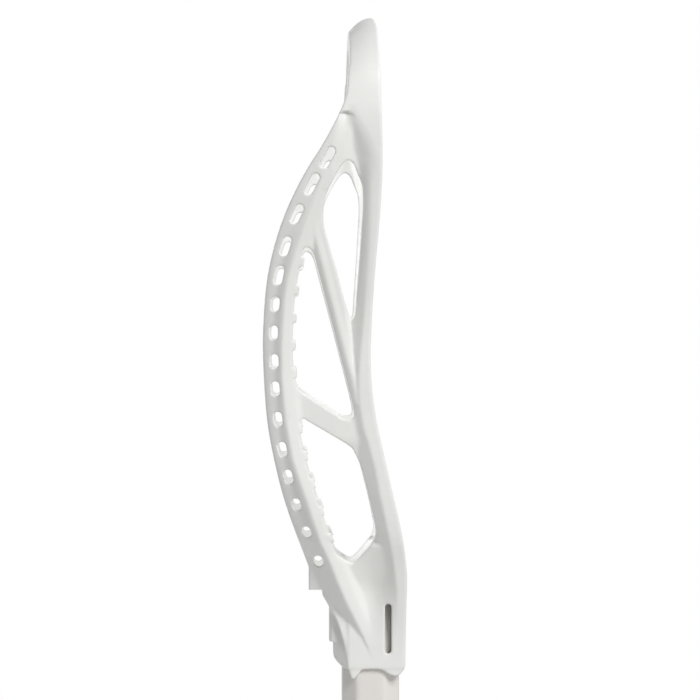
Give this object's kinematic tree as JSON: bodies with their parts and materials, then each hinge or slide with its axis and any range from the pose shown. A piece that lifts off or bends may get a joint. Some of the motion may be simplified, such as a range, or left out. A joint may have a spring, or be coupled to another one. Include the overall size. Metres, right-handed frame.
{
  "type": "lacrosse stick",
  "caption": "Field lacrosse stick: open moulded head with string holes down both rails, foam ball stop, head screw, octagonal alloy shaft and rubber end cap; unstrung.",
  "frame": {"origin": "middle of the end cap's flat bottom face, at the butt of the stick", "axes": "+Z along the shaft from the butt to the head, +Y towards the pocket side at the back of the head, so the open face looks to -Y; X runs across the stick, which is mirror-symmetric about X = 0"},
  "size_m": [0.166, 0.0724, 1.0472],
  "materials": {
    "white_nylon": "satin moulded nylon",
    "grey_foam": "closed-cell foam",
    "zinc_steel": "zinc plated",
    "cream_enamel": "satin off-white enamel over alloy",
    "black_rubber": "matt moulded rubber"
  },
  "bodies": {
    "root": {"head": "white_nylon", "ball_stop": "grey_foam", "head_screw": "zinc_steel", "shaft": "cream_enamel", "end_cap": "black_rubber"}
  },
  "joints": []
}
